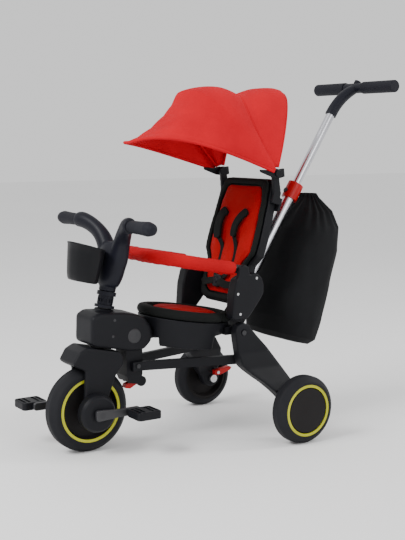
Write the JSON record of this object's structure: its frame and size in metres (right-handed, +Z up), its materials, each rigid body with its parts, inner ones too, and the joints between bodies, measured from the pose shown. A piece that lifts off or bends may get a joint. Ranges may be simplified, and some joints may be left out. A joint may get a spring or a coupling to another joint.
{
  "type": "children's folding tricycle",
  "caption": "Folding children's tricycle with pedalled front wheel, canopied reclining seat, guard bar, cup basket, storage bag and telescoping push bar.",
  "frame": {"origin": "middle of the tricycle's bounding box, on the ground", "axes": "+Z up, -Y the way the rider faces, +X to the rider's left; the wheels' axles lie along X"},
  "size_m": [0.48, 0.9243, 0.8598],
  "materials": {
    "tyre": "matt moulded foam rubber",
    "wheel_plastic": "satin",
    "ring": "satin yellow-green",
    "steel": "zinc plated",
    "dark_metal": "black powder coat",
    "black_plastic": "fine moulded grain",
    "grip_rubber": "soft matt",
    "basket_plastic": "fine moulded grain",
    "red_plastic": "satin",
    "black_fabric": "woven",
    "red_fabric": "woven",
    "canopy_fabric": "woven",
    "webbing": "flat webbing",
    "bag_fabric": "ripstop",
    "polished_tube": "polished"
  },
  "bodies": {
    "chassis": {"seat_base": "black_plastic", "rear_cross_frame": "black_plastic", "leg_hinge_rod": "steel", "seat_rim": "black_fabric", "seat_pad": "red_fabric", "side_housing_left": "black_plastic", "side_housing_right": "black_plastic", "housing_screws": "steel", "housing_pins": "steel", "push_tube_lower": "polished_tube", "push_collar": "red_plastic", "storage_bag": "bag_fabric"},
    "head": {"head_housing": "black_plastic", "head_pins": "steel", "head_screws": "steel", "fold_bracket": "black_plastic", "fold_latch": "black_plastic"},
    "steering": {"fork": "black_plastic", "hub_covers": "black_plastic", "steering_column": "dark_metal", "column_sleeve": "black_plastic", "handlebar": "black_plastic", "grips": "grip_rubber", "cup_basket": "basket_plastic"},
    "front_wheel": {"front_tyre": "tyre", "front_rim": "wheel_plastic", "front_rings": "ring", "front_axle": "steel", "crank_left": "dark_metal", "crank_right": "dark_metal"},
    "pedal_left": {"pedal_left": "black_plastic"},
    "pedal_right": {"pedal_right": "black_plastic"},
    "release_lever": {"fold_release_lever": "red_plastic"},
    "braces": {"brace_bars": "black_plastic"},
    "legs": {"rear_leg_left": "black_plastic", "rear_leg_right": "black_plastic", "rear_leg_pins": "steel"},
    "rear_wheel_left": {"rear_tyre_left": "tyre", "rear_rim_left": "wheel_plastic", "rear_ring_left": "ring"},
    "rear_wheel_right": {"rear_tyre_right": "tyre", "rear_rim_right": "wheel_plastic", "rear_ring_right": "ring"},
    "brake_left": {"brake_lever_left": "red_plastic"},
    "brake_right": {"brake_lever_right": "red_plastic"},
    "guard": {"guard_tube": "dark_metal", "guard_sleeve": "red_fabric"},
    "backrest": {"backrest_shell": "black_plastic", "backrest_rim": "black_fabric", "backrest_pad": "red_fabric", "harness": "webbing", "harness_buckle": "black_plastic", "canopy_posts": "black_plastic", "canopy_rear": "canopy_fabric"},
    "canopy_hood": {"canopy_front": "canopy_fabric"},
    "push_bar": {"push_tube_upper": "polished_tube", "push_handle": "black_plastic", "handle_grips": "grip_rubber"},
    "handle_button": {"handle_button": "black_plastic"},
    "collar_button": {"collar_button": "black_plastic"}
  },
  "joints": [
    {"name": "front_fold", "type": "hinge", "parent": "chassis", "child": "head", "pos_m": [0, -0.2421, 0.262], "axis": [1, 0, 0], "range_deg": [0, 60]},
    {"name": "brace_swing", "type": "hinge", "parent": "head", "child": "braces", "pos_m": [0, -0.2301, 0.19], "axis": [1, 0, 0], "range_deg": [-60, 0]},
    {"name": "leg_fold", "type": "hinge", "parent": "chassis", "child": "legs", "pos_m": [0, 0.0029, 0.258], "axis": [1, 0, 0], "range_deg": [0, 60]},
    {"name": "steering_turn", "type": "hinge", "parent": "head", "child": "steering", "pos_m": [0, -0.3441, 0.098], "axis": [0, 0.2062, 0.9785], "range_deg": [-40, 40]},
    {"name": "front_wheel_spin", "type": "hinge", "parent": "steering", "child": "front_wheel", "pos_m": [0, -0.3441, 0.098], "axis": [1, 0, 0], "continuous": true},
    {"name": "pedal_left_spin", "type": "hinge", "parent": "front_wheel", "child": "pedal_left", "pos_m": [0.112, -0.2561, 0.098], "axis": [1, 0, 0], "continuous": true},
    {"name": "pedal_right_spin", "type": "hinge", "parent": "front_wheel", "child": "pedal_right", "pos_m": [-0.112, -0.4321, 0.098], "axis": [1, 0, 0], "continuous": true},
    {"name": "fold_release_pull", "type": "hinge", "parent": "head", "child": "release_lever", "pos_m": [0, -0.2071, 0.147], "axis": [1, 0, 0], "range_deg": [0, 14], "stiffness_Nm_per_rad": 0.2},
    {"name": "rear_wheel_left_spin", "type": "hinge", "parent": "legs", "child": "rear_wheel_left", "pos_m": [0.2165, 0.1099, 0.08], "axis": [1, 0, 0], "continuous": true},
    {"name": "rear_wheel_right_spin", "type": "hinge", "parent": "legs", "child": "rear_wheel_right", "pos_m": [-0.2165, 0.1099, 0.08], "axis": [1, 0, 0], "continuous": true},
    {"name": "brake_left_press", "type": "hinge", "parent": "legs", "child": "brake_left", "pos_m": [0.15, 0.1139, 0.099], "axis": [-1, 0, 0], "range_deg": [0, 16]},
    {"name": "brake_right_press", "type": "hinge", "parent": "legs", "child": "brake_right", "pos_m": [-0.15, 0.1139, 0.099], "axis": [-1, 0, 0], "range_deg": [0, 16]},
    {"name": "guard_lift", "type": "hinge", "parent": "chassis", "child": "guard", "pos_m": [0, 0.0049, 0.405], "axis": [-1, 0, 0], "range_deg": [0, 60]},
    {"name": "backrest_recline", "type": "hinge", "parent": "chassis", "child": "backrest", "pos_m": [0, 0.0479, 0.358], "axis": [-1, 0, 0], "range_deg": [-6, 10]},
    {"name": "canopy_fold", "type": "hinge", "parent": "backrest", "child": "canopy_hood", "pos_m": [0, 0.1049, 0.627], "axis": [-1, 0, 0], "range_deg": [0, 30], "deforming": ["canopy_rear"]},
    {"name": "push_bar_slide", "type": "slide", "parent": "chassis", "child": "push_bar", "axis": [0, 0.5329, 0.8462], "range_m": [-0.19, 0]},
    {"name": "handle_button_press", "type": "slide", "parent": "push_bar", "child": "handle_button", "axis": [0, -0.5329, -0.8462], "range_m": [0, 0.003], "stiffness_N_per_m": 300},
    {"name": "collar_button_press", "type": "slide", "parent": "chassis", "child": "collar_button", "axis": [0, 0.8462, -0.5329], "range_m": [0, 0.0015], "stiffness_N_per_m": 300}
  ],
  "couplings": [
    {"joint": "brace_swing", "follows": "front_fold", "ratio": -1},
    {"joint": "leg_fold", "follows": "front_fold", "ratio": 1}
  ]
}
